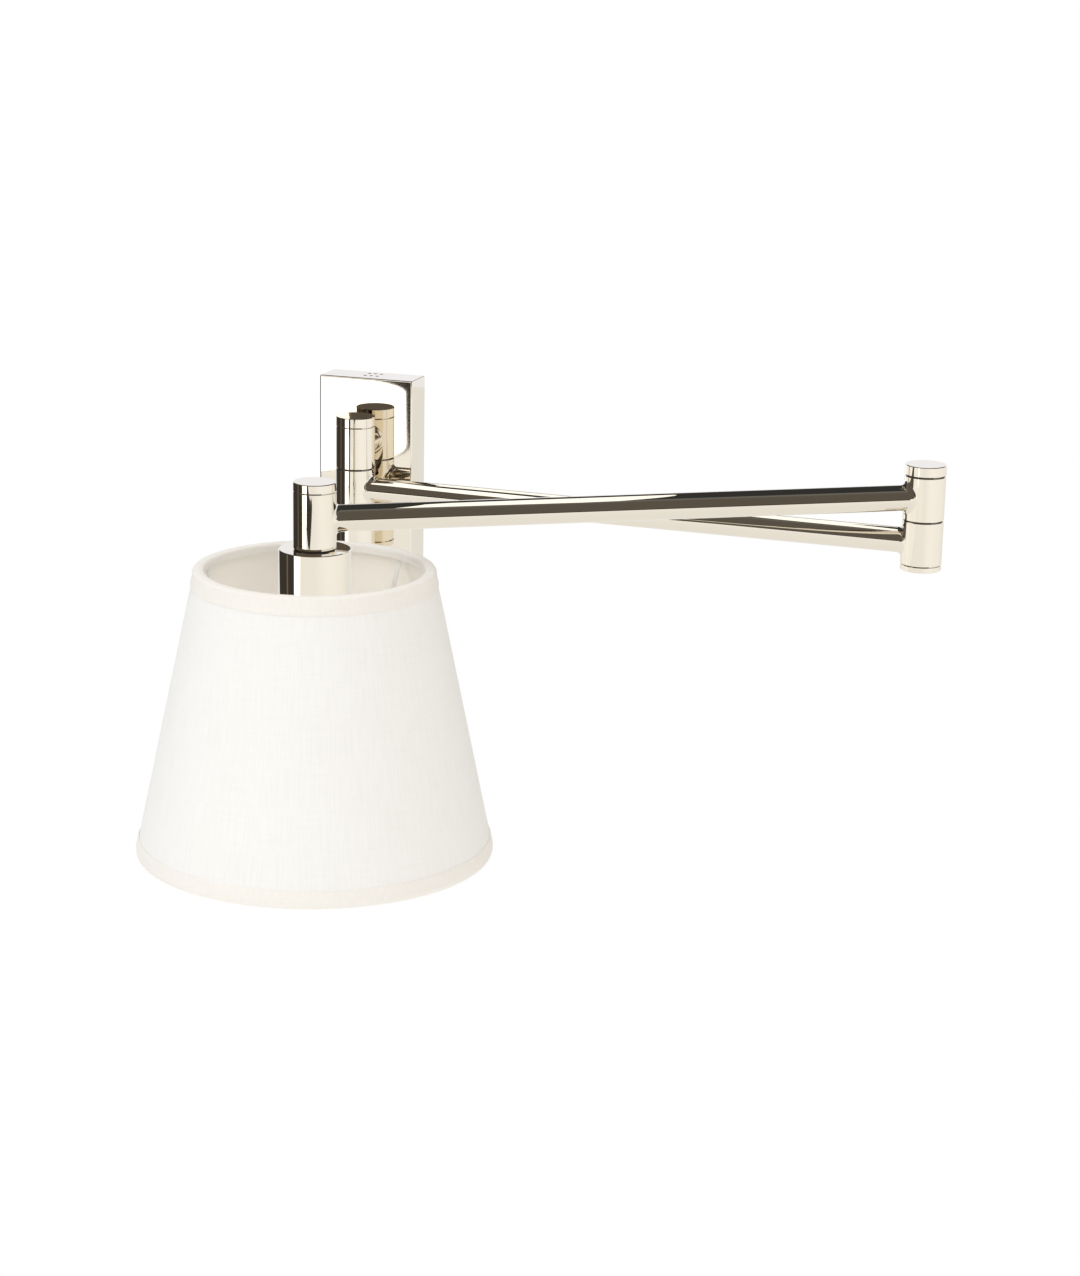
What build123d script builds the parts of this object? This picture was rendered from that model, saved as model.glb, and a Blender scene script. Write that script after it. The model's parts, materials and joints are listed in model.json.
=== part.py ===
"""Swing arm wall lamp: a box plate on the wall, two tube arms on capped pivots, and a linen shade.

Millimetres. The wall is the plane Y = 0 with +Y into it, +Z is up, +X runs along the wall, and the origin is
the middle of the plate's back. The arms stand as they are shown: the first one along the wall, the second one
folded back over it.
"""

import os

from build123d import *

# Wall plate
plate_width = 65.0
plate_height = 140.0
plate_depth = 24.0
plate_wall = 2.0
plate_edge_radius = 1.0
vent_radius = 1.2
vent_columns = 3
vent_rows = 2
vent_pitch_across = 4.2
vent_pitch_deep = 8.0
vent_from_wall = 10.0

# Mounting strap behind the plate
strap_width = 44.0
strap_thickness = 2.0
strap_flange = 14.0
strap_clearance = 0.2
strap_notch_width = 22.0
wall_screw_pitch = 83.3
wall_screw_hole_radius = 2.2
strap_cable_hole_radius = 13.0

# Screws that come up through the plate's underside into the strap
plate_screw_radius = 1.6
plate_screw_pitch = 28.0
plate_screw_head_radius = 3.0
plate_screw_head_height = 1.9
plate_screw_length = 8.0
plate_screw_slot = 0.7

# Pivots: barrels, caps, spindles, bushes and washers
barrel_radius = 12.7
knuckle_pitch = 28.0
cap_height = 6.4
foot_height = 3.6
edge_bevel = 0.4
spindle_radius = 5.0
spindle_bore_radius = 3.0
spindle_grip = 2.2
bush_wall = 1.5
washer_thickness = 0.5
washer_radius = 12.0
running_clearance = 0.05
seat_clearance = 0.05

# Stand-offs between the plate and the wall post
post_reach = 18.0
stand_off_radius = 8.0
stand_off_thread_radius = 5.0
stand_off_washer_radius = 9.0
stand_off_washer_thickness = 1.0
stand_off_nut_flats = 16.0
stand_off_nut_height = 5.0
stand_off_thread_end = 1.5

# Arms
arm_length = 378.0
arm_radius = 8.0
arm_wall = 1.5
arm_seat = 9.0
wire_hole_radius = 2.5
arm_1_angle = -1.5
arm_2_angle = -148.25

# Head: barrel, cap, nipple and lamp holder
head_barrel_height = 34.0
head_cap_height = 5.4
head_cap_plug = 1.4
head_well_radius = 10.5
head_well_depth = 7.5
head_nut_flats = 16.0
head_nut_height = 4.0
spring_washer_radius = 8.0
spring_washer_thickness = 0.8
cup_radius = 21.2
cup_wall = 1.2
cup_top = 2.0
cup_height = 48.0
holder_radius = 17.5
holder_skirt = 18.5
holder_thread_depth = 8.0
shell_radius = 13.3
shell_wall = 0.6
shell_length = 26.0
shell_recess = 6.0
contact_radius = 5.0
contact_height = 2.5

# Shade and its wire carrier
shade_top_radius = 70.2
shade_bottom_radius = 106.6
shade_height = 172.0
shade_below_arm = 1.7
linen_thickness = 0.5
liner_thickness = 0.6
layer_gap = 0.1
ring_wire_radius = 1.6
trim_thickness = 0.7
trim_width = 10.0
carrier_ring_thickness = 2.0
carrier_ring_radius = 25.5
carrier_clearance = 0.3
carrier_wire_radius = 1.5
carrier_arms = 3
carrier_first_angle = 62.5
carrier_foot_radius = 57.0
carrier_bend_radius = 9.0
ring_nut_height = 6.0
ring_nut_radius = 22.5

# Levels, measured from the middle of the plate
arm_1_level = 0.0
arm_2_level = arm_1_level + knuckle_pitch
knuckle_height = knuckle_pitch - washer_thickness
head_barrel_top = arm_2_level + head_barrel_height / 2
head_barrel_foot = arm_2_level - head_barrel_height / 2
cup_crown = head_barrel_foot - washer_thickness
cup_rim = cup_crown - cup_height
shade_top = arm_1_level - shade_below_arm
shade_foot = shade_top - shade_height

# Fits
bush_radius = spindle_radius + running_clearance + bush_wall
knuckle_bore_radius = bush_radius + seat_clearance
spindle_hole_radius = spindle_radius + seat_clearance

# Where the pivots stand in plan
upward = Vector(0, 0, 1)
arm_1_direction = Vector(1, 0, 0).rotate(Axis.Z, arm_1_angle)
arm_2_direction = Vector(1, 0, 0).rotate(Axis.Z, arm_2_angle)
post_point = Vector(0, -plate_depth - post_reach, 0)
elbow_point = post_point + arm_1_direction * arm_length
head_point = elbow_point + arm_2_direction * arm_length
post_plan = Plane(origin=post_point, z_dir=upward)
elbow_plan = Plane(origin=elbow_point, z_dir=upward)
head_plan = Plane(origin=head_point, z_dir=upward)
head_axis = Axis(head_point, upward)
head_section = Plane(origin=head_point, x_dir=(1, 0, 0), z_dir=(0, -1, 0))

os.makedirs("parts", exist_ok=True)


def write_piece(piece: BuildPart, label: str):
    """Label a finished piece and write it as its own file."""
    piece.part.label = label
    export_step(piece.part, f"parts/{label}.step")


def seat_plane(point: Vector, direction: Vector, level: float) -> Plane:
    """The flat where a tube ends inside a barrel, square to the tube."""
    return Plane(origin=point + direction * arm_seat + upward * level, z_dir=direction)


def make_barrel(
    plan: Plane, middle: float, height: float, bore_radius: float, seat: Plane, well_depth: float = 0.0
) -> BuildPart:
    """A pivot barrel with bevelled rims, a through bore, and a seat and wire hole for the tube at its side.

    Args:
        plan: plan plane on the barrel's axis.
        middle: level of the barrel's middle.
        height: height of the barrel.
        bore_radius: radius of the through bore.
        seat: plane where the tube's end seats.
        well_depth: depth of the nut well in the top, where the barrel has one.
    """
    foot = plan.offset(middle - height / 2)
    with BuildPart() as barrel:
        with BuildSketch(foot):
            Circle(barrel_radius)
        extrude(amount=height)
        chamfer(barrel.edges().filter_by(GeomType.CIRCLE), edge_bevel)
        with BuildSketch(foot):
            Circle(bore_radius)
        extrude(amount=height, mode=Mode.SUBTRACT)
        with BuildSketch(seat):
            Circle(arm_radius + seat_clearance)
        extrude(amount=barrel_radius, mode=Mode.SUBTRACT)
        with BuildSketch(seat):
            Circle(wire_hole_radius)
        extrude(amount=-arm_seat, mode=Mode.SUBTRACT)
        if well_depth:
            with BuildSketch(foot.offset(height)):
                Circle(head_well_radius)
            extrude(amount=-well_depth, mode=Mode.SUBTRACT)
    return barrel


def make_cap(plan: Plane, base: float, height: float, grip: float) -> BuildPart:
    """A pivot's end cap, screwed on the spindle: a flat button with bevelled rims. Height is negative for a foot."""
    with BuildPart() as cap:
        with BuildSketch(plan.offset(base)):
            Circle(barrel_radius)
        extrude(amount=height)
        chamfer(cap.edges().filter_by(GeomType.CIRCLE), edge_bevel)
        with BuildSketch(plan.offset(base)):
            Circle(spindle_hole_radius)
        extrude(amount=grip, mode=Mode.SUBTRACT)
    return cap


def make_sleeve(plan: Plane, foot: float, height: float, radius: float, bore: float) -> BuildPart:
    """A plain round sleeve or washer."""
    with BuildPart() as sleeve:
        with BuildSketch(plan.offset(foot)):
            Circle(radius)
            Circle(bore, mode=Mode.SUBTRACT)
        extrude(amount=height)
    return sleeve


def make_spindle(plan: Plane, foot: float, top: float, windows: list) -> BuildPart:
    """A hollow pivot spindle with a wire window towards each of the given seats."""
    with BuildPart() as spindle:
        with BuildSketch(plan.offset(foot)):
            Circle(spindle_radius)
            Circle(spindle_bore_radius, mode=Mode.SUBTRACT)
        extrude(amount=top - foot)
        for window in windows:
            with BuildSketch(window):
                Circle(wire_hole_radius)
            extrude(amount=-arm_seat, mode=Mode.SUBTRACT)
    return spindle


def make_bush(plan: Plane, middle: float, height: float, seat: Plane) -> BuildPart:
    """A bearing bush in a turning barrel, with a window for the wire."""
    with BuildPart() as bush:
        with BuildSketch(plan.offset(middle - height / 2)):
            Circle(bush_radius)
            Circle(spindle_radius + running_clearance, mode=Mode.SUBTRACT)
        extrude(amount=height)
        with BuildSketch(seat):
            Circle(wire_hole_radius)
        extrude(amount=-arm_seat, mode=Mode.SUBTRACT)
    return bush


def make_tube(seat: Plane) -> BuildPart:
    """An arm tube from one barrel's seat to the next one's."""
    with BuildPart() as tube:
        with BuildSketch(seat):
            Circle(arm_radius)
            Circle(arm_radius - arm_wall, mode=Mode.SUBTRACT)
        extrude(amount=arm_length - 2 * arm_seat)
    return tube


def make_turning(points: list) -> BuildPart:
    """A piece of the head turned about its axis, from its outline in radius and height."""
    with BuildPart() as turning:
        with BuildSketch(head_section):
            with BuildLine():
                Polyline(*points, close=True)
            make_face()
        revolve(axis=head_axis)
    return turning


# Wall plate: a box open to the wall, with stand-off holes in its face, vents on top and screw holes below
plate_face_y = -plate_depth
plate_inside_y = plate_face_y + plate_wall
plate_foot = -plate_height / 2
screw_row_y = -strap_flange / 2
stand_off_levels = (arm_2_level, arm_2_level - 2 * knuckle_pitch)

with BuildPart() as wall_plate:
    with BuildSketch(Plane.XZ):
        Rectangle(plate_width, plate_height)
    extrude(amount=plate_depth)
    plate_edges = wall_plate.faces().sort_by(Axis.Y)[0].edges() + wall_plate.edges().filter_by(Axis.Y)
    fillet(plate_edges, plate_edge_radius)
    with BuildSketch(Plane.XZ):
        Rectangle(plate_width - 2 * plate_wall, plate_height - 2 * plate_wall)
    extrude(amount=plate_depth - plate_wall, mode=Mode.SUBTRACT)
    with BuildSketch(Plane.XZ.offset(plate_depth)):
        with Locations(*[(0, level) for level in stand_off_levels]):
            Circle(stand_off_thread_radius + seat_clearance)
    extrude(amount=-plate_wall, mode=Mode.SUBTRACT)
    with BuildSketch(Plane.XY.offset(plate_height / 2)):
        with Locations((0, -vent_from_wall)):
            with GridLocations(vent_pitch_across, vent_pitch_deep, vent_columns, vent_rows):
                Circle(vent_radius)
    extrude(amount=-plate_wall, mode=Mode.SUBTRACT)
    with BuildSketch(Plane.XY.offset(plate_foot)):
        with Locations((0, screw_row_y)):
            with GridLocations(plate_screw_pitch, 1, 2, 1):
                Circle(plate_screw_radius + seat_clearance)
    extrude(amount=plate_wall, mode=Mode.SUBTRACT)
write_piece(wall_plate, "wall_plate")

# Mounting strap: a web on the wall, a lower flange that takes the screws and two upper ears beside the vents
strap_height = plate_height - 2 * (plate_wall + strap_clearance)
strap_foot = -strap_height / 2

with BuildPart() as mounting_strap:
    with BuildSketch(Plane.XZ):
        Rectangle(strap_width, strap_height)
        Circle(strap_cable_hole_radius, mode=Mode.SUBTRACT)
        with GridLocations(1, wall_screw_pitch, 1, 2):
            Circle(wall_screw_hole_radius, mode=Mode.SUBTRACT)
    extrude(amount=strap_thickness)
    with BuildSketch(Plane.XY.offset(strap_foot)):
        with Locations((0, -strap_flange / 2)):
            Rectangle(strap_width, strap_flange)
        with Locations((0, screw_row_y)):
            with GridLocations(plate_screw_pitch, 1, 2, 1):
                Circle(plate_screw_radius + seat_clearance, mode=Mode.SUBTRACT)
    extrude(amount=strap_thickness)
    with BuildSketch(Plane.XY.offset(-strap_foot)):
        with Locations((0, -strap_flange / 2)):
            Rectangle(strap_width, strap_flange)
            Rectangle(strap_notch_width, strap_flange, mode=Mode.SUBTRACT)
    extrude(amount=-strap_thickness)
write_piece(mounting_strap, "mounting_strap")

with BuildPart() as plate_screws:
    with BuildSketch(Plane.XY.offset(plate_foot)):
        with Locations((0, screw_row_y)):
            with GridLocations(plate_screw_pitch, 1, 2, 1):
                Circle(plate_screw_head_radius)
    extrude(amount=-plate_screw_head_height)
    with BuildSketch(Plane.XY.offset(plate_foot - plate_screw_head_height)):
        with Locations((0, screw_row_y)):
            with GridLocations(plate_screw_pitch, 1, 2, 1):
                Rectangle(2 * plate_screw_head_radius, plate_screw_slot)
    extrude(amount=plate_screw_head_height / 2, mode=Mode.SUBTRACT)
    with BuildSketch(Plane.XY.offset(plate_foot)):
        with Locations((0, screw_row_y)):
            with GridLocations(plate_screw_pitch, 1, 2, 1):
                Circle(plate_screw_radius)
    extrude(amount=plate_screw_length)
write_piece(plate_screws, "plate_screws")

# Stand-offs: a collar seated in a fixed knuckle, with a threaded end through the plate, a washer and a nut
into_wall = Vector(0, 1, 0)
stand_off_thread = plate_wall + stand_off_washer_thickness + stand_off_nut_height + stand_off_thread_end

for label, level in zip(("upper_stand_off", "lower_stand_off"), stand_off_levels):
    seat = seat_plane(post_point, into_wall, level)
    with BuildPart() as stand_off:
        with BuildSketch(seat):
            Circle(stand_off_radius)
        extrude(amount=post_reach - arm_seat)
        with BuildSketch(seat):
            Circle(stand_off_thread_radius)
        extrude(amount=post_reach - arm_seat + stand_off_thread)
        with BuildSketch(seat):
            Circle(wire_hole_radius)
        extrude(amount=post_reach - arm_seat + stand_off_thread, mode=Mode.SUBTRACT)
    write_piece(stand_off, label)

inside_face = Plane(origin=(0, plate_inside_y, 0), x_dir=(1, 0, 0), z_dir=(0, 1, 0))

with BuildPart() as stand_off_washers:
    with BuildSketch(inside_face):
        with Locations(*[(0, -level) for level in stand_off_levels]):
            Circle(stand_off_washer_radius)
            Circle(stand_off_thread_radius + seat_clearance, mode=Mode.SUBTRACT)
    extrude(amount=stand_off_washer_thickness)
write_piece(stand_off_washers, "stand_off_washers")

with BuildPart() as stand_off_nuts:
    with BuildSketch(inside_face.offset(stand_off_washer_thickness)):
        with Locations(*[(0, -level) for level in stand_off_levels]):
            RegularPolygon(stand_off_nut_flats / 2, 6, major_radius=False)
            Circle(stand_off_thread_radius + seat_clearance, mode=Mode.SUBTRACT)
    extrude(amount=stand_off_nut_height)
write_piece(stand_off_nuts, "stand_off_nuts")

# Wall post: two fixed knuckles on one spindle, with the first arm's knuckle between them
for label, level in zip(("upper_wall_knuckle", "lower_wall_knuckle"), stand_off_levels):
    seat = seat_plane(post_point, into_wall, level)
    wall_knuckle = make_barrel(post_plan, level, knuckle_height, spindle_hole_radius, seat)
    write_piece(wall_knuckle, label)

post_seat = seat_plane(post_point, arm_1_direction, arm_1_level)
post_top = stand_off_levels[0] + knuckle_height / 2
post_foot_level = stand_off_levels[1] - knuckle_height / 2
post_windows = [post_seat, seat_plane(post_point, into_wall, stand_off_levels[0])]

post_spindle = make_spindle(post_plan, post_foot_level - spindle_grip, post_top + spindle_grip, post_windows)
write_piece(post_spindle, "post_spindle")
write_piece(make_cap(post_plan, post_top, cap_height, spindle_grip), "post_cap")
write_piece(make_cap(post_plan, post_foot_level, -foot_height, -spindle_grip), "post_foot")

with BuildPart() as post_washers:
    for foot in (arm_1_level + knuckle_height / 2, arm_1_level - knuckle_height / 2 - washer_thickness):
        with BuildSketch(post_plan.offset(foot)):
            Circle(washer_radius)
            Circle(spindle_hole_radius, mode=Mode.SUBTRACT)
        extrude(amount=washer_thickness)
write_piece(post_washers, "post_washers")

# First arm: its post knuckle on a bush, the tube, and the lower half of the elbow with the elbow's spindle
arm_1_end_seat = seat_plane(elbow_point, -arm_1_direction, arm_1_level)
arm_2_seat = seat_plane(elbow_point, arm_2_direction, arm_2_level)
elbow_top = arm_2_level + knuckle_height / 2 + washer_thickness
elbow_foot_level = arm_1_level - knuckle_height / 2

arm_1_knuckle = make_barrel(post_plan, arm_1_level, knuckle_height, knuckle_bore_radius, post_seat)
write_piece(arm_1_knuckle, "arm_1_knuckle")
write_piece(make_bush(post_plan, arm_1_level, knuckle_height, post_seat), "arm_1_bush")
write_piece(make_tube(post_seat), "arm_1_tube")

elbow_lower_knuckle = make_barrel(elbow_plan, arm_1_level, knuckle_height, spindle_hole_radius, arm_1_end_seat)
write_piece(elbow_lower_knuckle, "elbow_lower_knuckle")
elbow_spindle = make_spindle(
    elbow_plan, elbow_foot_level - spindle_grip, elbow_top + spindle_grip, [arm_1_end_seat, arm_2_seat]
)
write_piece(elbow_spindle, "elbow_spindle")
write_piece(make_cap(elbow_plan, elbow_top, cap_height, spindle_grip), "elbow_cap")
write_piece(make_cap(elbow_plan, elbow_foot_level, -foot_height, -spindle_grip), "elbow_foot")

with BuildPart() as elbow_washers:
    for foot in (arm_1_level + knuckle_height / 2, arm_2_level + knuckle_height / 2):
        with BuildSketch(elbow_plan.offset(foot)):
            Circle(washer_radius)
            Circle(spindle_hole_radius, mode=Mode.SUBTRACT)
        extrude(amount=washer_thickness)
write_piece(elbow_washers, "elbow_washers")

# Second arm: its elbow knuckle on a bush, the tube, and the head barrel with a well for the nut under its cap
head_seat = seat_plane(head_point, -arm_2_direction, arm_2_level)
well_floor = head_barrel_top - head_well_depth

elbow_upper_knuckle = make_barrel(elbow_plan, arm_2_level, knuckle_height, knuckle_bore_radius, arm_2_seat)
write_piece(elbow_upper_knuckle, "elbow_upper_knuckle")
write_piece(make_bush(elbow_plan, arm_2_level, knuckle_height, arm_2_seat), "elbow_bush")
write_piece(make_tube(arm_2_seat), "arm_2_tube")

head_barrel = make_barrel(
    head_plan, arm_2_level, head_barrel_height, knuckle_bore_radius, head_seat, head_well_depth
)
write_piece(head_barrel, "head_barrel")

head_bush_height = well_floor - head_barrel_foot
head_bush = make_bush(head_plan, head_barrel_foot + head_bush_height / 2, head_bush_height, head_seat)
write_piece(head_bush, "head_bush")

with BuildPart() as head_cap:
    with BuildSketch(head_plan.offset(head_barrel_top)):
        Circle(barrel_radius)
    extrude(amount=head_cap_height)
    chamfer(head_cap.edges().filter_by(GeomType.CIRCLE), edge_bevel)
    with BuildSketch(head_plan.offset(head_barrel_top)):
        Circle(head_well_radius - seat_clearance)
    extrude(amount=-head_cap_plug)
write_piece(head_cap, "head_cap")

# Head: a nipple hung from the well by its nut, carrying the cup and the lamp holder
nut_foot = well_floor + spring_washer_thickness
nipple_top = nut_foot + head_nut_height
holder_top = cup_crown - cup_top
nipple_foot = holder_top - holder_thread_depth

head_nipple = make_spindle(head_plan, nipple_foot, nipple_top, [head_seat])
write_piece(head_nipple, "head_nipple")
head_spring_washer = make_sleeve(
    head_plan, well_floor, spring_washer_thickness, spring_washer_radius, spindle_hole_radius
)
write_piece(head_spring_washer, "head_spring_washer")
head_washer = make_sleeve(head_plan, cup_crown, washer_thickness, washer_radius, spindle_hole_radius)
write_piece(head_washer, "head_washer")

with BuildPart() as head_nut:
    with BuildSketch(head_plan.offset(nut_foot)):
        RegularPolygon(head_nut_flats / 2, 6, major_radius=False)
        Circle(spindle_hole_radius, mode=Mode.SUBTRACT)
    extrude(amount=head_nut_height)
write_piece(head_nut, "head_nut")

with BuildPart() as socket_cup:
    with BuildSketch(head_plan.offset(cup_crown)):
        Circle(cup_radius)
    extrude(amount=-cup_height)
    chamfer(socket_cup.faces().sort_by(Axis.Z)[-1].edges(), edge_bevel)
    with BuildSketch(head_plan.offset(cup_rim)):
        Circle(cup_radius - cup_wall)
    extrude(amount=cup_height - cup_top, mode=Mode.SUBTRACT)
    with BuildSketch(head_plan.offset(cup_crown)):
        Circle(spindle_hole_radius)
    extrude(amount=-cup_top, mode=Mode.SUBTRACT)
write_piece(socket_cup, "socket_cup")

holder_foot = cup_rim - holder_skirt
shell_foot = holder_foot + shell_recess
shell_top = shell_foot + shell_length
holder_bore_top = shell_top + contact_height
holder_bore_radius = shell_radius + shell_wall + seat_clearance

with BuildPart() as socket_body:
    with BuildSketch(head_plan.offset(holder_foot)):
        Circle(holder_radius)
    extrude(amount=holder_top - holder_foot)
    with BuildSketch(head_plan.offset(holder_foot)):
        Circle(holder_bore_radius)
    extrude(amount=holder_bore_top - holder_foot, mode=Mode.SUBTRACT)
    with BuildSketch(head_plan.offset(holder_top)):
        Circle(spindle_hole_radius)
    extrude(amount=-holder_thread_depth, mode=Mode.SUBTRACT)
write_piece(socket_body, "socket_body")

socket_screw_shell = make_sleeve(head_plan, shell_foot, shell_length, shell_radius + shell_wall, shell_radius)
write_piece(socket_screw_shell, "socket_screw_shell")

with BuildPart() as socket_contact:
    with BuildSketch(head_plan.offset(holder_bore_top)):
        Circle(contact_radius)
    extrude(amount=-contact_height)
    fillet(socket_contact.faces().sort_by(Axis.Z)[0].edges(), contact_height / 2)
write_piece(socket_contact, "socket_contact")

# Shade carrier: a ring clamped under the cup by the ring nut, with drop wires welded to its edge
carrier_foot = cup_rim - carrier_ring_thickness
carrier_hole_radius = holder_radius + carrier_clearance
shade_slope = (shade_bottom_radius - shade_top_radius) / shade_height


def linen_radius(level: float) -> float:
    """The shade's outside radius at a level."""
    return shade_top_radius + (shade_top - level) * shade_slope


def liner_radius(level: float) -> float:
    """The liner's outside radius at a level."""
    return linen_radius(level) - linen_thickness - layer_gap


ring_inset = liner_thickness + layer_gap + ring_wire_radius
top_ring_level = shade_top - ring_wire_radius
foot_ring_level = shade_foot + ring_wire_radius
top_ring_radius = liner_radius(top_ring_level) - ring_inset
foot_ring_radius = liner_radius(foot_ring_level) - ring_inset - ring_wire_radius * shade_slope
carrier_wire_level = cup_rim - carrier_ring_thickness / 2
carrier_lean = Vector(top_ring_radius - carrier_foot_radius, top_ring_level - carrier_wire_level)
carrier_wire_top = top_ring_level - ring_wire_radius - carrier_wire_radius * carrier_lean.normalized().X - layer_gap

shade_carrier = make_sleeve(
    head_plan, carrier_foot, carrier_ring_thickness, carrier_ring_radius, carrier_hole_radius
)
write_piece(shade_carrier, "shade_carrier")

with BuildPart() as shade_drop_wires:
    for count in range(carrier_arms):
        outward = Vector(1, 0, 0).rotate(Axis.Z, carrier_first_angle + count * 360 / carrier_arms)
        with BuildLine(Plane(origin=head_point, x_dir=outward, z_dir=outward.cross(upward))) as drop_wire:
            FilletPolyline(
                (carrier_ring_radius + seat_clearance, carrier_wire_level),
                (carrier_foot_radius, carrier_wire_level),
                (top_ring_radius, carrier_wire_top),
                radius=carrier_bend_radius,
            )
        with BuildSketch(Plane(origin=drop_wire.line @ 0, z_dir=drop_wire.line % 0)):
            Circle(carrier_wire_radius)
        sweep(path=drop_wire.line)
write_piece(shade_drop_wires, "shade_drop_wires")

shade_ring_nut = make_sleeve(
    head_plan, carrier_foot - ring_nut_height, ring_nut_height, ring_nut_radius, holder_radius + seat_clearance
)
write_piece(shade_ring_nut, "shade_ring_nut")

# Shade: linen on a stiff liner between two wire rings, with folded trims over both edges
with BuildPart() as shade_top_ring:
    with Locations(head_plan.offset(top_ring_level).location):
        Torus(top_ring_radius, ring_wire_radius)
write_piece(shade_top_ring, "shade_top_ring")

with BuildPart() as shade_bottom_ring:
    with Locations(head_plan.offset(foot_ring_level).location):
        Torus(foot_ring_radius, ring_wire_radius)
write_piece(shade_bottom_ring, "shade_bottom_ring")

shade_linen = make_turning([
    (linen_radius(shade_top), shade_top),
    (linen_radius(shade_foot), shade_foot),
    (linen_radius(shade_foot) - linen_thickness, shade_foot),
    (linen_radius(shade_top) - linen_thickness, shade_top),
])
write_piece(shade_linen, "shade_linen")

shade_liner = make_turning([
    (liner_radius(shade_top), shade_top),
    (liner_radius(shade_foot), shade_foot),
    (liner_radius(shade_foot) - liner_thickness, shade_foot),
    (liner_radius(shade_top) - liner_thickness, shade_top),
])
write_piece(shade_liner, "shade_liner")


def make_trim(edge: float, into_shade: float, ring_radius: float) -> BuildPart:
    """A folded band over one edge of the shade: an outer leaf, a fold over the edge and a leaf inside the ring.

    Args:
        edge: level of the shade's edge.
        into_shade: -1 where the shade lies below the edge, 1 where it lies above.
        ring_radius: radius of the wire ring inside the edge.
    """
    hem = edge + into_shade * trim_width
    lining = edge - into_shade * layer_gap
    fold = lining - into_shade * trim_thickness
    leaf_end = edge + into_shade * 2 * ring_wire_radius
    leaf_radius = ring_radius - ring_wire_radius - layer_gap
    return make_turning([
        (linen_radius(hem) + layer_gap, hem),
        (linen_radius(hem) + layer_gap + trim_thickness, hem),
        (linen_radius(fold) + layer_gap + trim_thickness, fold),
        (leaf_radius - trim_thickness, fold),
        (leaf_radius - trim_thickness, leaf_end),
        (leaf_radius, leaf_end),
        (leaf_radius, lining),
        (linen_radius(lining) + layer_gap, lining),
    ])


write_piece(make_trim(shade_top, -1, top_ring_radius), "shade_top_trim")
write_piece(make_trim(shade_foot, 1, foot_ring_radius), "shade_bottom_trim")
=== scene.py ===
"""Swing arm wall lamp: cloth, finishes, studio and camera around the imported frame.

Metres, in the frame of the part: the wall is the plane Y = 0 with +Y into it, and +Z is up.
"""

import json
import logging
import math
from dataclasses import dataclass
from enum import Enum
from typing import Callable, Sequence

import bmesh
import bpy
from mathutils import Matrix, Vector, noise

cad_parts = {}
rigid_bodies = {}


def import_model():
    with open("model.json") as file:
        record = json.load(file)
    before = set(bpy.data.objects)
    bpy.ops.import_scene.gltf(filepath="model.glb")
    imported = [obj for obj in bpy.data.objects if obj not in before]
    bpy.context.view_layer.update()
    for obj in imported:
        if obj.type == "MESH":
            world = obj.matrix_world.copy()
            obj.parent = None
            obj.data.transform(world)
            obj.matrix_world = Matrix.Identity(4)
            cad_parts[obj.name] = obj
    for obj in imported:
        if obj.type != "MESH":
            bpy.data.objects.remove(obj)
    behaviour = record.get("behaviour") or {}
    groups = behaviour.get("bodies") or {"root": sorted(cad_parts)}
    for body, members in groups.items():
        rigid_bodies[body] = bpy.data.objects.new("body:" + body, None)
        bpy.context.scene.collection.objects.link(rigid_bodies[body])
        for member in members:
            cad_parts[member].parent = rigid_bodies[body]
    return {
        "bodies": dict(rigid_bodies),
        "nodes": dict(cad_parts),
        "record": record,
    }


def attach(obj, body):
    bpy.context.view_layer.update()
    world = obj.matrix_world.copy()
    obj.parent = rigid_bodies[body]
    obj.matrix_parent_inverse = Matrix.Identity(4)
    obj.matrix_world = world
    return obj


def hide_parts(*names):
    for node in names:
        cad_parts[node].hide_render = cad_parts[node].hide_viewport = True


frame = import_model()

LOG = logging.getLogger("wall_lamp")
MM = 0.001

Colour = tuple[float, float, float]
Point = tuple[float, float, float]
Flat = tuple[float, float]
Outline = list[Flat]
Row = list[Vector]
Socket = bpy.types.NodeSocket
Outputs = bpy.types.NodeOutputs
Inputs = bpy.types.NodeInputs
Node = bpy.types.Node
Material = bpy.types.Material
Object = bpy.types.Object

WHITE: Colour = (1.0, 1.0, 1.0)
BUFF_ALONG = 0.35
BUFF_ACROSS = 3.0
WEFT_SHIFT = 7.0

POST: Flat = (0.0, -42.0 * MM)
ELBOW: Flat = (377.870 * MM, -51.895 * MM)
HEAD: Flat = (56.437 * MM, -250.804 * MM)
UPPER_LEVEL = 28.0 * MM
ARM_1_HEADING = -1.5
ARM_2_HEADING = 31.75
WALL_HEADING = 90.0


class Body(Enum):
    """The four bodies that the pivots join."""

    WALL = "wall"
    ARM_1 = "arm_1"
    ARM_2 = "arm_2"
    HEAD = "head"


class Slot(Enum):
    """The material slots of the part."""

    NICKEL = "polished_nickel"
    ZINC = "zinc_steel"
    BRASS = "turned_brass"
    WASHER = "friction_washer"
    HOLDER = "holder_body"
    RING_NUT = "ring_nut"
    WIRE = "shade_wire"
    LINER = "shade_liner"
    LINEN = "shade_linen"
    TRIM = "shade_trim"


class Edge(Enum):
    """The two bound edges of the shade, with the side on which the cloth lies."""

    TOP = -1
    BOTTOM = 1


class Link(Enum):
    """How a lit board is tied to the pieces that it names."""

    ONLY = "INCLUDE"
    ALL_BUT = "EXCLUDE"


Finishes = dict[Slot, Material]


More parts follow.
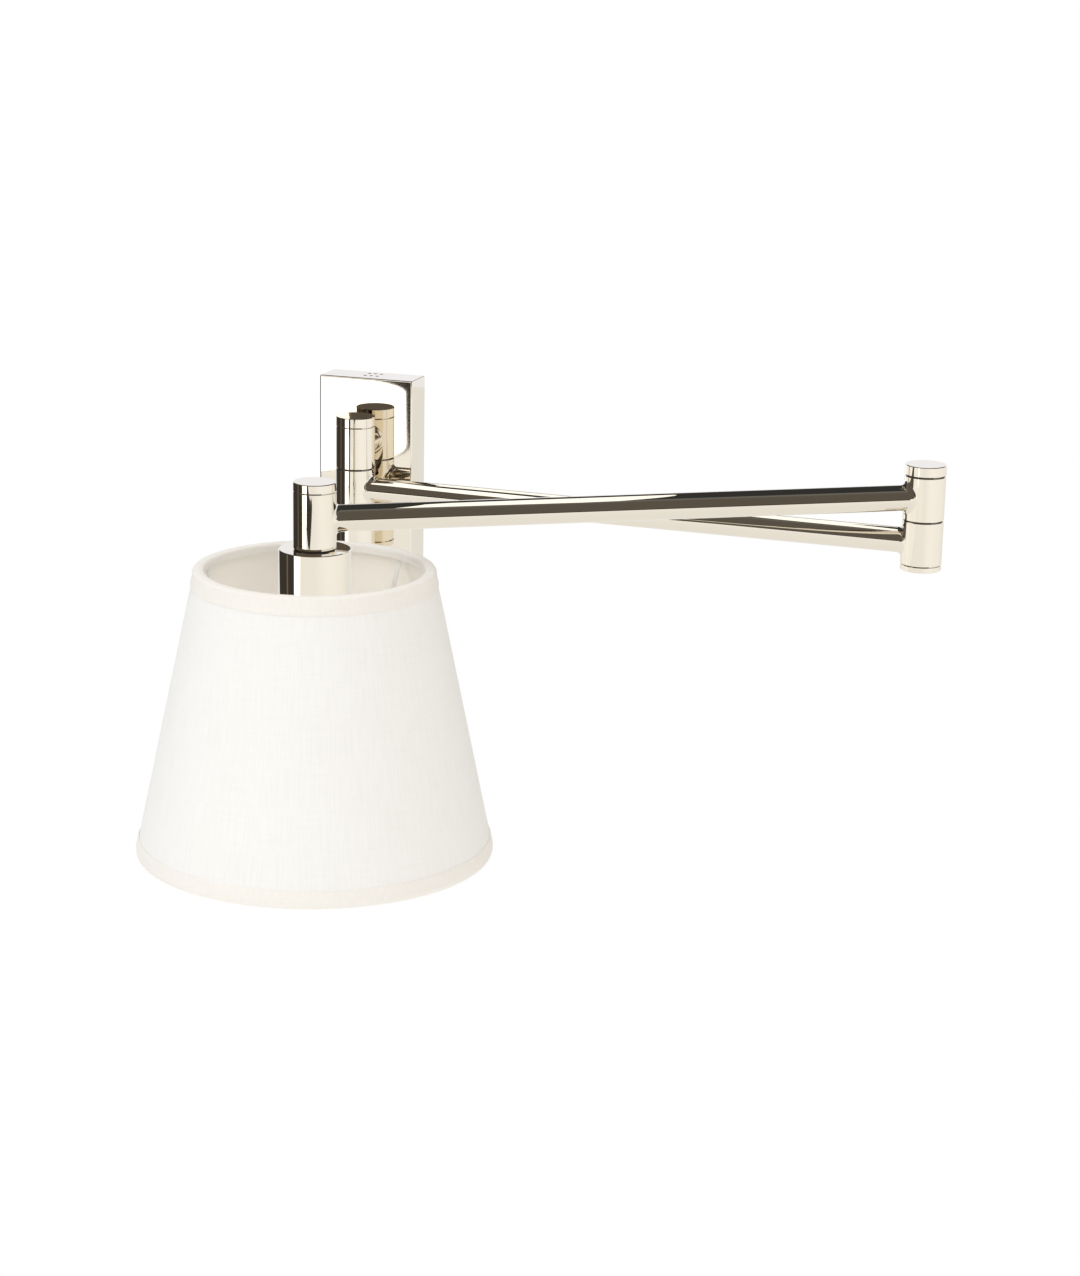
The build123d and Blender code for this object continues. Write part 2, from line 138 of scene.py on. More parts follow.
class Graph:
    """A node tree with short calls that add and join its nodes."""

    def __init__(self, tree: bpy.types.NodeTree) -> None:
        """Takes the tree to add to."""
        self.tree = tree

    def add(self, kind: str, *values: object, **settings: object) -> Node:
        """Adds a node.

        Args:
            kind: type name of the node.
            values: what its first sockets are fed with, in their order.
            settings: properties to set on it.

        Returns:
            The new node.
        """
        node = self.tree.nodes.new(kind)
        for name, setting in settings.items():
            setattr(node, name, setting)
        for socket, value in zip(node.inputs, values):
            self.feed(socket, value)
        return node

    def feed(self, socket: Socket, value: object) -> None:
        """Joins a socket to another one, or sets its own value."""
        if isinstance(value, Socket):
            self.tree.links.new(value, socket)
        elif isinstance(value, tuple) and socket.type == "RGBA":
            socket.default_value = (*value, 1.0)
        else:
            socket.default_value = value

    def math(self, operation: str, *values: object) -> Socket:
        """Adds a Math node and returns what it puts out."""
        return self.add("ShaderNodeMath", *values, operation=operation).outputs[0]

    def times(self, first: object, second: object) -> Socket:
        """Returns the product of two values."""
        return self.math("MULTIPLY", first, second)

    def weigh(self, first: object, second: object, share: float) -> Socket:
        """Returns a share of the first value plus the rest of the second."""
        return self.math("ADD", self.times(first, share), self.times(second, 1.0 - share))

    def span(self, value: object, low: float, high: float,
             to_low: float = 0.0, to_high: float = 1.0) -> Socket:
        """Adds a smooth Map Range node and returns what it puts out."""
        values = (value, low, high, to_low, to_high)
        return self.add("ShaderNodeMapRange", *values, interpolation_type="SMOOTHSTEP").outputs["Result"]

    def mix(self, factor: object, first: object, second: object) -> Socket:
        """Adds a colour Mix node and returns what it puts out."""
        node = self.add("ShaderNodeMix", data_type="RGBA")
        self.feed(node.inputs["Factor"], factor)
        colours = [s for s in node.inputs if s.type == "RGBA"]
        self.feed(colours[0], first)
        self.feed(colours[1], second)
        return next(s for s in node.outputs if s.type == "RGBA")

    def blend(self, factor: object, first: Node, second: Node) -> Node:
        """Adds a Mix Shader node between two shaders and returns it."""
        return self.add("ShaderNodeMixShader", factor, first.outputs[0], second.outputs[0])

    def point(self, x: object, y: object, z: object = 0.0) -> Socket:
        """Adds a Combine XYZ node and returns what it puts out."""
        return self.add("ShaderNodeCombineXYZ", x, y, z).outputs[0]

    def split(self, vector: Socket) -> Outputs:
        """Adds a Separate XYZ node and returns the three parts."""
        return self.add("ShaderNodeSeparateXYZ", vector).outputs

    def grain(self, vector: Socket, scale: object, detail: float = 2.0, rough: float = 0.5) -> Socket:
        """Adds a Noise node and returns the value it puts out."""
        node = self.add("ShaderNodeTexNoise")
        for name, item in (("Vector", vector), ("Scale", scale), ("Detail", detail), ("Roughness", rough)):
            self.feed(node.inputs[name], item)
        return node.outputs[0]

    def place(self) -> Socket:
        """Returns the point in the frame of the part, which stays with the piece as it moves."""
        return self.add("ShaderNodeTexCoord").outputs["Object"]

    def emboss(self, shader: Node, height: Socket, depth: float, strength: float) -> None:
        """Feeds a height to a shader's normal through a Bump node."""
        bump = self.add("ShaderNodeBump")
        for name, item in (("Strength", strength), ("Distance", depth), ("Height", height)):
            self.feed(bump.inputs[name], item)
        self.feed(shader.inputs["Normal"], bump.outputs[0])

    def finish(self, shader: Node) -> None:
        """Joins the last shader of a material to its surface."""
        self.feed(self.tree.nodes["Material Output"].inputs["Surface"], shader.outputs[0])


def new_material(name: str) -> tuple[Material, Graph]:
    """Makes a material with nodes, and returns it with its graph."""
    material = bpy.data.materials.new(name)
    material.use_nodes = True
    return material, Graph(material.node_tree)


def add_object(name: str, data: bpy.types.ID) -> Object:
    """Makes an object and puts it in the scene."""
    thing = bpy.data.objects.new(name, data)
    bpy.context.scene.collection.objects.link(thing)
    return thing


def add_mesh(name: str, form: bmesh.types.BMesh, material: Material) -> Object:
    """Turns a form into an object of the scene."""
    mesh = bpy.data.meshes.new(name)
    form.to_mesh(mesh)
    form.free()
    mesh.materials.append(material)
    return add_object(name, mesh)


@dataclass(frozen=True)
class Effect:
    """A shared effect: a node group with named inputs and outputs."""

    name: str
    inputs: tuple[tuple[str, float], ...]
    outputs: tuple[str, ...]
    fill: Callable[[Graph, Outputs, Inputs], None]

    def group(self) -> bpy.types.NodeTree:
        """Returns the group, built the first time it is asked for."""
        known = bpy.data.node_groups.get(self.name)
        if known:
            return known
        tree = bpy.data.node_groups.new(self.name, "ShaderNodeTree")
        for name, value in self.inputs:
            socket = tree.interface.new_socket(name, in_out="INPUT", socket_type="NodeSocketFloat")
            socket.default_value = value
        for name in self.outputs:
            tree.interface.new_socket(name, in_out="OUTPUT", socket_type="NodeSocketFloat")
        graph = Graph(tree)
        given = graph.add("NodeGroupInput")
        result = graph.add("NodeGroupOutput")
        self.fill(graph, given.outputs, result.inputs)
        return tree

    def use(self, graph: Graph, **values: float) -> Outputs:
        """Places the group in a material.

        Args:
            graph: the material's tree.
            values: inputs to set, with spaces in their names written as underscores.

        Returns:
            The outputs of the placed group.
        """
        node = graph.add("ShaderNodeGroup", node_tree=self.group())
        for name, value in values.items():
            node.inputs[name.replace("_", " ")].default_value = value
        return node.outputs


def fill_handling_marks(graph: Graph, given: Outputs, result: Inputs) -> None:
    """Faint smears and buffing lines of a handled metal face."""
    place = graph.place()
    smear = graph.span(graph.grain(place, given["Smear Scale"], detail=3.0), low=0.42, high=0.72)
    x, y, z = graph.split(place)
    drawn = graph.point(graph.times(x, BUFF_ALONG), y, graph.times(z, BUFF_ACROSS))
    buffed = graph.grain(drawn, given["Buff Scale"])
    marks = graph.weigh(smear, buffed, share=0.7)
    spread = graph.math("SUBTRACT", given["High"], given["Low"])
    graph.feed(result["Roughness"], graph.math("MULTIPLY_ADD", marks, spread, given["Low"]))
    graph.feed(result["Smear"], smear)
    graph.feed(result["Height"], buffed)


def fill_mottle(graph: Graph, given: Outputs, result: Inputs) -> None:
    """Cloudy change of tone, with a fine grain over it."""
    place = graph.place()
    cloud = graph.span(graph.grain(place, given["Cloud Scale"], detail=3.0), low=0.3, high=0.7)
    grain = graph.grain(place, given["Grain Scale"])
    graph.feed(result["Tone"], graph.weigh(cloud, grain, share=0.6))
    graph.feed(result["Height"], grain)


def fill_weave(graph: Graph, given: Outputs, result: Inputs) -> None:
    """Plain weave round an upright axis: warp down the cloth, weft round it, with slubs in both."""
    x, y, down = graph.split(graph.place())
    across = graph.math("SUBTRACT", x, given["Axis X"])
    deep = graph.math("SUBTRACT", y, given["Axis Y"])
    angle = graph.math("ARCTAN2", across, graph.times(deep, -1.0))
    along = graph.times(angle, given["Radius"])
    turn = graph.math("DIVIDE", 2 * math.pi, given["Thread Pitch"])
    warp = graph.math("SINE", graph.times(along, turn))
    weft = graph.math("SINE", graph.times(down, turn))
    thread = graph.math("MULTIPLY_ADD", graph.times(warp, weft), 0.5, 0.5)
    fine = graph.math("DIVIDE", 1.0, given["Slub Width"])
    long = graph.math("DIVIDE", 1.0, given["Slub Length"])
    upright = graph.point(graph.times(along, fine), graph.times(down, long))
    level = graph.point(graph.times(along, long), graph.times(down, fine), WEFT_SHIFT)
    standing = graph.span(graph.grain(upright, 1.0, detail=3.0, rough=0.6), low=0.38, high=0.68)
    lying = graph.span(graph.grain(level, 1.0, detail=3.0, rough=0.6), low=0.42, high=0.72)
    slub = graph.weigh(standing, lying, share=0.65)
    graph.feed(result["Slub"], slub)
    graph.feed(result["Height"], graph.weigh(thread, slub, share=0.35))


HANDLING_MARKS = Effect(
    "handling_marks",
    inputs=(("Smear Scale", 22.0), ("Buff Scale", 900.0), ("Low", 0.03), ("High", 0.08)),
    outputs=("Roughness", "Smear", "Height"),
    fill=fill_handling_marks)
MOTTLE = Effect(
    "mottle",
    inputs=(("Cloud Scale", 30.0), ("Grain Scale", 1500.0)),
    outputs=("Tone", "Height"),
    fill=fill_mottle)
WEAVE = Effect(
    "plain_weave",
    inputs=(("Axis X", 0.0), ("Axis Y", 0.0), ("Radius", 90.0 * MM), ("Thread Pitch", 0.6 * MM),
            ("Slub Width", 0.8 * MM), ("Slub Length", 30.0 * MM)),
    outputs=("Slub", "Height"),
    fill=fill_weave)


@dataclass(frozen=True)
class Finish:
    """What every finish has: a slot, two close tones and a roughness."""

    slot: Slot
    tone: Colour
    other_tone: Colour
    roughness: float

    def build(self) -> Material:
        """Makes the material: its shader here, its surface in the finish's own method."""
        material, graph = new_material("finish_" + self.slot.value)
        shader = graph.tree.nodes["Principled BSDF"]
        shader.inputs["Roughness"].default_value = self.roughness
        self.surface(graph, shader)
        material.diffuse_color = (*self.tone, 1.0)
        return material

    def surface(self, graph: Graph, shader: Node) -> None:
        """Gives the shader its surface; each kind of finish has its own."""
        raise NotImplementedError


@dataclass(frozen=True)
class MetalFinish(Finish):
    """Bare or plated metal with smears and buffing lines."""

    roughest: float = 0.1
    smear_scale: float = 22.0
    relief: float = 0.0

    def surface(self, graph: Graph, shader: Node) -> None:
        """Metal all over, a shade duller where it is smeared."""
        marks = HANDLING_MARKS.use(graph, Smear_Scale=self.smear_scale,
                                   Low=self.roughness, High=self.roughest)
        shader.inputs["Metallic"].default_value = 1.0
        graph.feed(shader.inputs["Base Color"], graph.mix(marks["Smear"], self.tone, self.other_tone))
        graph.feed(shader.inputs["Roughness"], marks["Roughness"])
        if self.relief:
            graph.emboss(shader, marks["Height"], self.relief, strength=0.4)


@dataclass(frozen=True)
class SmoothFinish(Finish):
    """Moulded, glazed or enamelled face with a cloudy tone."""

    cloud_scale: float = 30.0
    relief: float = 0.0
    coat: float = 0.0

    def surface(self, graph: Graph, shader: Node) -> None:
        """Two close tones in clouds, with a fine grain in the surface."""
        clouds = MOTTLE.use(graph, Cloud_Scale=self.cloud_scale)
        graph.feed(shader.inputs["Base Color"], graph.mix(clouds["Tone"], self.tone, self.other_tone))
        shader.inputs["Coat Weight"].default_value = self.coat
        if self.relief:
            graph.emboss(shader, clouds["Height"], self.relief, strength=0.5)


@dataclass(frozen=True)
class ClothFinish(Finish):
    """Plain woven cloth wrapped round the shade."""

    axis: Flat = HEAD
    thread_pitch: float = 0.6 * MM
    slub_width: float = 0.8 * MM
    slub_length: float = 30.0 * MM
    relief: float = 0.2 * MM
    cloud_scale: float = 35.0
    cloud_share: float = 0.25
    grain_scale: float = 700.0
    sheen: float = 0.08
    sheen_roughness: float = 0.5
    gloss: float = 0.2

    def surface(self, graph: Graph, shader: Node) -> None:
        """Threads and slubs in colour and in relief."""
        axis_x, axis_y = self.axis
        weave = WEAVE.use(graph, Axis_X=axis_x, Axis_Y=axis_y, Thread_Pitch=self.thread_pitch,
                          Slub_Width=self.slub_width, Slub_Length=self.slub_length)
        clouds = MOTTLE.use(graph, Cloud_Scale=self.cloud_scale, Grain_Scale=self.grain_scale)
        uneven = graph.weigh(clouds["Tone"], weave["Slub"], self.cloud_share)
        graph.feed(shader.inputs["Base Color"], graph.mix(uneven, self.tone, self.other_tone))
        shader.inputs["Sheen Weight"].default_value = self.sheen
        shader.inputs["Sheen Roughness"].default_value = self.sheen_roughness
        shader.inputs["Specular IOR Level"].default_value = self.gloss
        graph.emboss(shader, weave["Height"], self.relief, strength=0.5)


def mesh_piece(name: str, rows: Sequence[Row], closed_round: bool, material: Material,
               sharp_degrees: float = 40.0) -> Object:
    """Makes a piece from rows of points, one row for each step along it.

    Args:
        name: name of the piece.
        rows: closed outlines with the same number of points each.
        closed_round: joins the last row to the first; otherwise both ends are capped.
        material: finish of the piece.
        sharp_degrees: edges that turn more than this stay crisp.

    Returns:
        The new object, smooth shaded.
    """
    form = bmesh.new()
    made = [[form.verts.new(p) for p in row] for row in rows]
    count = len(made[0])
    steps = len(made) if closed_round else len(made) - 1
    for i in range(steps):
        row, following = made[i], made[(i + 1) % len(made)]
        for j in range(count):
            k = (j + 1) % count
            form.faces.new((row[j], row[k], following[k], following[j]))
    if not closed_round:
        form.faces.new(list(reversed(made[0])))
        form.faces.new(made[-1])
    bmesh.ops.recalc_face_normals(form, faces=form.faces)
    piece = add_mesh(name, form, material)
    faces = piece.data.polygons
    faces.foreach_set("use_smooth", [True] * len(faces))
    piece.data.set_sharp_from_angle(angle=math.radians(sharp_degrees))
    return piece


def settle(piece: Object, body: Body, slot: Slot, *nodes: str) -> Object:
    """Puts a piece on its body, in place of the nodes it stands for."""
    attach(piece, body.value)
    if nodes:
        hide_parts(*nodes)
    LOG.info("piece %s on %s: %d faces", piece.name, body.value, len(piece.data.polygons))
    return piece


def bend(start: Flat, corner: Flat, end: Flat, steps: int = 8) -> Outline:
    """Points of the curve from one point to another that a corner draws towards itself."""
    shares = [k / steps for k in range(steps + 1)]
    return [tuple((1 - t) ** 2 * a + 2 * t * (1 - t) * b + t * t * c for a, b, c in zip(start, corner, end))
            for t in shares]


class Assembly:
    """A group of pieces that dresses the frame."""

    def dress(self, finishes: Finishes) -> None:
        """Builds the pieces in their finishes and puts them on their bodies."""
        raise NotImplementedError


@dataclass
class HeadAssembly(Assembly):
    """Pieces that stand round the upright axis of the head."""

    axis: Flat = HEAD

    def at(self, angle: float, radius: float, level: float) -> Vector:
        """The point at an angle round the head's axis, in radians from +X."""
        x, y = self.axis
        return Vector((x + radius * math.cos(angle), y + radius * math.sin(angle), level))


@dataclass(frozen=True)
class Ripple:
    """Slow hand-made unevenness, the same each run.

    seed picks the pattern, wave is about how far apart its bumps are, and depth is how far they stand out.
    """

    seed: float
    wave: float
    depth: float

    def at(self, place: Vector) -> float:
        """How far the ripple moves a point."""
        shift = Vector((self.seed, self.seed * 1.7, self.seed * 0.3))
        return self.depth * noise.noise(place / self.wave + shift)


@dataclass
class Shade(HeadAssembly):
    """The tapered shade: linen on a stiff liner, with a folded binding over each edge."""

    top: float = -1.7 * MM
    height: float = 172.0 * MM
    top_radius: float = 70.2 * MM
    bottom_radius: float = 106.6 * MM
    seam_angle: float = 95.0
    linen: float = 0.5 * MM
    linen_inset: float = 1.2 * MM
    linen_ripple: Ripple = Ripple(3.0, 28.0 * MM, 0.1 * MM)
    lap: float = 8.0 * MM
    lap_slope: float = 0.6
    lap_lift: float = 0.575 * MM
    tape: float = 0.5 * MM
    tape_gap: float = 0.1 * MM
    tape_outside: float = 10.0 * MM
    tape_inside: float = 4.4 * MM
    tape_tuck: float = 0.3 * MM
    tape_roll: float = 3.1 * MM
    tape_seam_angle: float = 109.0
    rim_width: float = 7.6 * MM
    rim_rise: float = 0.8 * MM
    rim_fullness: float = 0.62
    hem_ripple: Ripple = Ripple(11.0, 16.0 * MM, 0.35 * MM)
    lining_ripple: Ripple = Ripple(23.0, 20.0 * MM, 0.5 * MM)
    puff_ripple: Ripple = Ripple(31.0, 12.0 * MM, 0.12 * MM)
    unmirrored: tuple[str, ...] = ("shade_liner", "shade_drop_wires", "shade_top_ring", "shade_bottom_ring")
    steps_round: int = 288
    steps_down: int = 48
    hem_steps: int = 6
    rim_steps: int = 12
    lining_steps: int = 3

    @property
    def foot(self) -> float:
        """Level of the bottom edge."""
        return self.top - self.height

    def radius(self, level: float) -> float:
        """Outside radius of the linen at a level."""
        share = (self.top - level) / self.height
        return self.top_radius + share * (self.bottom_radius - self.top_radius)

    def waver(self, ripple: Ripple, angle: float, level: float) -> float:
        """How far a ripple moves the cloth at an angle and a level."""
        return ripple.at(self.at(angle, self.radius(level), level))

    def make_linen(self, material: Material) -> Object:
        """The linen: one cut wrapped round the liner, lapped over itself at the back."""
        start = math.radians(self.seam_angle)
        lap_angle = self.lap / self.radius(self.top - self.height / 2)
        slope = lap_angle * self.lap_slope
        low, high = self.foot + self.linen_inset, self.top - self.linen_inset
        levels = [high + (low - high) * j / self.steps_down for j in range(self.steps_down + 1)]
        rows: list[Row] = []
        for i in range(self.steps_round + 1):
            angle = start + (2 * math.pi + lap_angle) * i / self.steps_round
            over = (angle - start - 2 * math.pi + slope) / slope
            raised = self.lap_lift * max(0.0, min(1.0, over))
            outside = [(self.radius(z) + raised + self.waver(self.linen_ripple, angle, z), z) for z in levels]
            inside = [(r - self.linen, z) for r, z in reversed(outside)]
            rows.append([self.at(angle, r, z) for r, z in outside + inside])
        return mesh_piece("shade_linen_cloth", rows, False, material)

    def make_binding(self, edge: Edge, material: Material) -> Object:
        """A tape folded over one edge: hem outside, rolled over the wire ring, hem inside."""
        level = self.top if edge is Edge.TOP else self.foot
        start = math.radians(self.tape_seam_angle)
        rows: list[Row] = []
        for i in range(self.steps_round):
            angle = start + 2 * math.pi * i / self.steps_round
            hem = self.tape_outside + self.waver(self.hem_ripple, angle, level)
            lining = self.tape_inside + self.waver(self.lining_ripple, angle, level)
            puff = self.waver(self.puff_ripple, angle, level)
            section = self.tape_section(level, edge.value, hem, lining, puff)
            rows.append([self.at(angle, r, z) for r, z in section])
        return mesh_piece("shade_%s_binding" % edge.name.lower(), rows, True, material, sharp_degrees=55.0)

    def tape_section(self, level: float, side: int, hem: float, lining: float, puff: float) -> Outline:
        """Outline of the folded tape in radius and height.

        Args:
            level: level of the shade's edge.
            side: -1 where the shade lies below the edge, 1 where it lies above.
            hem: width of the tape outside.
            lining: width of the tape inside.
            puff: how far the outside stands out here.

        Returns:
            The outline, first along the tape's outside and then back along its inside.
        """
        outer, inner = [], []
        for k in range(self.hem_steps + 1):
            z = level + side * (hem + (self.tape_roll - hem) * k / self.hem_steps)
            face = self.radius(z) + self.tape_gap + self.tape
            swell = puff * math.sin(math.pi * (k + 1) / (self.hem_steps + 2))
            tuck = self.tape_tuck if k == 0 else 0.0
            outer.append((face + swell - tuck, z))
            inner.append((face - self.tape, z))
        shoulder = level + side * self.tape_roll
        half_width = self.rim_width / 2
        middle = self.radius(shoulder) + self.tape_gap + self.tape - half_width
        for k in range(1, self.rim_steps):
            turn = math.pi * k / self.rim_steps
            out = math.copysign(abs(math.cos(turn)) ** self.rim_fullness, math.cos(turn))
            up = math.sin(turn) ** self.rim_fullness
            for line, thin in ((outer, 0.0), (inner, self.tape)):
                rise = self.tape_roll + self.rim_rise - thin
                line.append((middle + (half_width - thin) * out, shoulder - side * rise * up))
        for k in range(self.lining_steps + 1):
            z = level + side * (self.tape_roll + (lining - self.tape_roll) * k / self.lining_steps)
            face = middle - half_width + self.radius(z) - self.radius(shoulder)
            outer.append((face, z))
            inner.append((face + self.tape, z))
        return outer + list(reversed(inner))

    def dress(self, finishes: Finishes) -> None:
        """Builds the cloth pieces in place of their nodes, and hides them, the liner, the rings and the drop
        wires from mirror rays.
        """
        trim = finishes[Slot.TRIM]
        linen = settle(self.make_linen(finishes[Slot.LINEN]), Body.HEAD, Slot.LINEN, "shade_linen")
        top = settle(self.make_binding(Edge.TOP, trim), Body.HEAD, Slot.TRIM, "shade_top_trim")
        bottom = settle(self.make_binding(Edge.BOTTOM, trim), Body.HEAD, Slot.TRIM, "shade_bottom_trim")
        for piece in (linen, top, bottom, *(frame["nodes"][name] for name in self.unmirrored)):
            piece.visible_glossy = False


@dataclass
class Holder(HeadAssembly):
    """Details of the lamp holder: rolled screw shell, ribbed ring nut and brazed roots of the drop wires."""

    shell_foot: float = -50.0 * MM
    shell_top: float = -24.0 * MM
    shell_radius: float = 13.6 * MM
    shell_wall: float = 0.5 * MM
    shell_steps: int = 78
    thread_pitch: float = 3.63 * MM
    thread_depth: float = 0.55 * MM
    thread_crest: float = 0.28 * MM
    nut_foot: float = -45.5 * MM
    nut_top: float = -39.5 * MM
    nut_bore: float = 17.55 * MM
    nut_radius: float = 22.5 * MM
    nut_flange: float = 1.6 * MM
    nut_bevel: float = 0.45 * MM
    ribs: int = 40
    rib_depth: float = 0.9 * MM
    rib_inset: float = 0.35 * MM
    rib_sharpness: float = 1.5
    rib_steps: int = 8
    wires: int = 3
    wire_radius: float = 1.5 * MM
    root_radius: float = 25.5 * MM
    root_level: float = -38.5 * MM
    root_first_angle: float = 62.5
    bead_swell: tuple[Flat, ...] = ((-0.2, 0.3), (0.0, 0.72), (0.35, 0.8), (0.8, 0.62), (1.5, 0.34),
                                    (2.3, 0.14))
    bead_end: Flat = (3.2, 0.02)
    bead_lump: float = 0.12 * MM
    bead_end_lump: float = 0.048 * MM
    bead_flatness: float = 0.8
    bead_seed: float = 3.1
    bead_steps: int = 20
    steps_round: int = 96

    def make_screw_shell(self, material: Material) -> Object:
        """The thin shell with its rolled round thread, which fades out at both ends."""
        length = self.shell_top - self.shell_foot
        levels = [self.shell_foot + length * j / self.shell_steps for j in range(self.shell_steps + 1)]
        rows: list[Row] = []
        for i in range(self.steps_round):
            angle = 2 * math.pi * i / self.steps_round
            outside: Outline = []
            for z in levels:
                from_end = min(z - self.shell_foot, self.shell_top - z)
                fade = min(1.0, from_end / self.thread_pitch)
                wave = 0.5 - 0.5 * math.cos(2 * math.pi * z / self.thread_pitch - angle)
                outside.append((self.shell_radius + self.thread_crest - self.thread_depth * fade * wave, z))
            inside = [(r - self.shell_wall, z) for r, z in reversed(outside)]
            rows.append([self.at(angle, r, z) for r, z in outside + inside])
        return mesh_piece("socket_rolled_shell", rows, True, material, sharp_degrees=60.0)

    def make_ring_nut(self, material: Material) -> Object:
        """The ring nut: a plain flange against the wire carrier and ribs to grip below it."""
        bore, radius, bevel = self.nut_bore, self.nut_radius, self.nut_bevel
        foot, top = self.nut_foot, self.nut_top
        shoulder = top - self.nut_flange
        steps = self.ribs * self.rib_steps
        rows: list[Row] = []
        for i in range(steps):
            angle = 2 * math.pi * i / steps
            dip = self.rib_depth * (0.5 - 0.5 * math.cos(angle * self.ribs)) ** self.rib_sharpness
            grip = radius - self.rib_inset - dip
            outline = [(bore, foot + bevel), (bore + bevel, foot), (grip - bevel, foot), (grip, foot + bevel),
                       (grip, shoulder), (radius - bevel / 2, shoulder), (radius, shoulder + bevel / 2),
                       (radius, top - bevel), (radius - bevel, top), (bore + bevel, top), (bore, top - bevel)]
            rows.append([self.at(angle, r, z) for r, z in outline])
        return mesh_piece("shade_ribbed_nut", rows, True, material, sharp_degrees=32.0)

    def make_root_bead(self, count: int, material: Material) -> Object:
        """The brazed bead where one drop wire leaves the carrier ring."""
        angle = math.radians(self.root_first_angle + 360.0 / self.wires * count)
        sideways = Vector((-math.sin(angle), math.cos(angle), 0.0))
        rows: list[Row] = []
        for along, proud in (*self.bead_swell, self.bead_end):
            middle = self.at(angle, self.root_radius + along * MM, self.root_level)
            depth = self.bead_end_lump if (along, proud) == self.bead_end else self.bead_lump
            ring: Row = []
            for k in range(self.bead_steps):
                turn = 2 * math.pi * k / self.bead_steps
                seed = Vector((self.bead_seed * count + math.cos(turn), math.sin(turn), along))
                lump = depth * noise.noise(seed)
                radius = self.wire_radius + proud * MM + lump
                lift = Vector((0.0, 0.0, radius * math.sin(turn) * self.bead_flatness))
                ring.append(middle + sideways * radius * math.cos(turn) + lift)
            rows.append(ring)
        return mesh_piece("shade_wire_bead_%d" % (count + 1), rows, False, material, sharp_degrees=60.0)

    def dress(self, finishes: Finishes) -> None:
        """Builds the details and puts them on the head."""
        settle(self.make_screw_shell(finishes[Slot.BRASS]), Body.HEAD, Slot.BRASS, "socket_screw_shell")
        settle(self.make_ring_nut(finishes[Slot.RING_NUT]), Body.HEAD, Slot.RING_NUT, "shade_ring_nut")
        for count in range(self.wires):
            settle(self.make_root_bead(count, finishes[Slot.WIRE]), Body.HEAD, Slot.WIRE)


@dataclass
class RootFillet(Assembly):
    """The flare of solder, filed smooth, where a tube enters the side of a barrel."""

    name: str
    body: Body
    barrel: Flat
    level: float
    heading: float
    tube_radius: float = 8.0 * MM
    barrel_radius: float = 12.7 * MM
    reach: float = 2.8 * MM
    side_loss: float = 0.5
    bite: float = 0.15 * MM
    steps_round: int = 96

    def section(self, turn: float) -> Outline:
        """Outline of the flare at an angle round the tube, measured from the barrel's axis and the tube's.

        Args:
            turn: angle round the tube, in radians from the level on one side.

        Returns:
            The outline: the hollow curve between the two faces, and a corner inside both pieces.
        """
        lean = math.cos(turn) ** 2
        spread = self.reach * (1.0 - self.side_loss * lean)
        high = self.tube_radius + spread
        on_barrel = math.sqrt(self.barrel_radius ** 2 - high ** 2 * lean)
        corner = on_barrel + spread * high * lean / on_barrel
        along = corner + math.hypot(corner - on_barrel, spread)
        curve = bend((along, self.tube_radius), (corner, self.tube_radius), (on_barrel, high))
        under = self.tube_radius - self.bite
        root = math.sqrt(self.barrel_radius ** 2 - self.tube_radius ** 2 * lean)
        return [(along, under), *curve, (on_barrel - self.bite, high), (root - self.bite, under)]

    def dress(self, finishes: Finishes) -> None:
        """Builds the flare and puts it on its body."""
        heading = math.radians(self.heading)
        along = Vector((math.cos(heading), math.sin(heading), 0.0))
        aside = Vector((-math.sin(heading), math.cos(heading), 0.0))
        middle = Vector((*self.barrel, self.level))
        rows: list[Row] = []
        for i in range(self.steps_round):
            turn = 2 * math.pi * i / self.steps_round
            out = aside * math.cos(turn) + Vector((0.0, 0.0, math.sin(turn)))
            rows.append([middle + along * a + out * r for a, r in self.section(turn)])
        settle(mesh_piece(self.name, rows, True, finishes[Slot.NICKEL]), self.body, Slot.NICKEL)


ASSEMBLIES: tuple[Assembly, ...] = (
    Shade(),
    Holder(),
    RootFillet("arm_1_post_fillet", Body.ARM_1, POST, 0.0, ARM_1_HEADING),
    RootFillet("arm_1_elbow_fillet", Body.ARM_1, ELBOW, 0.0, ARM_1_HEADING + 180.0),
    RootFillet("arm_2_elbow_fillet", Body.ARM_2, ELBOW, UPPER_LEVEL, ARM_2_HEADING - 180.0),
    RootFillet("arm_2_head_fillet", Body.ARM_2, HEAD, UPPER_LEVEL, ARM_2_HEADING),
    RootFillet("upper_stand_off_fillet", Body.WALL, POST, UPPER_LEVEL, WALL_HEADING),
    RootFillet("lower_stand_off_fillet", Body.WALL, POST, -UPPER_LEVEL, WALL_HEADING),
)

POST_PIECES = ("post_cap", "upper_wall_knuckle", "arm_1_knuckle", "lower_wall_knuckle", "post_foot",
               "arm_1_post_fillet")
HEAD_PIECES = ("head_cap", "head_barrel", "socket_cup", "arm_2_head_fillet")
ELBOW_PIECES = ("elbow_cap", "elbow_foot", "elbow_upper_knuckle", "elbow_lower_knuckle",
                "arm_1_elbow_fillet", "arm_2_elbow_fillet")

FLOOR_LEVEL = -0.9
CEILING_LEVEL = 0.55
SCREEN_DEPTH = -1.6
LAYER = 0.001
FULL_GLOW = 1.7
CEILING_GLOW = 1.3
SIDE_GLOW = 1.0
FLOOR_GLOW = 0.977
LAMP_MIDDLE: Point = (0.1, -0.2, -0.05)

# Left edge of the floor, beside which mirrors show the dark room.
LEFT_EDGE: Outline = [(-2.75, 5.0), (-2.75, -2.0), (-2.2, -2.85), (-1.66, -3.6), (-1.7, -3.95)]
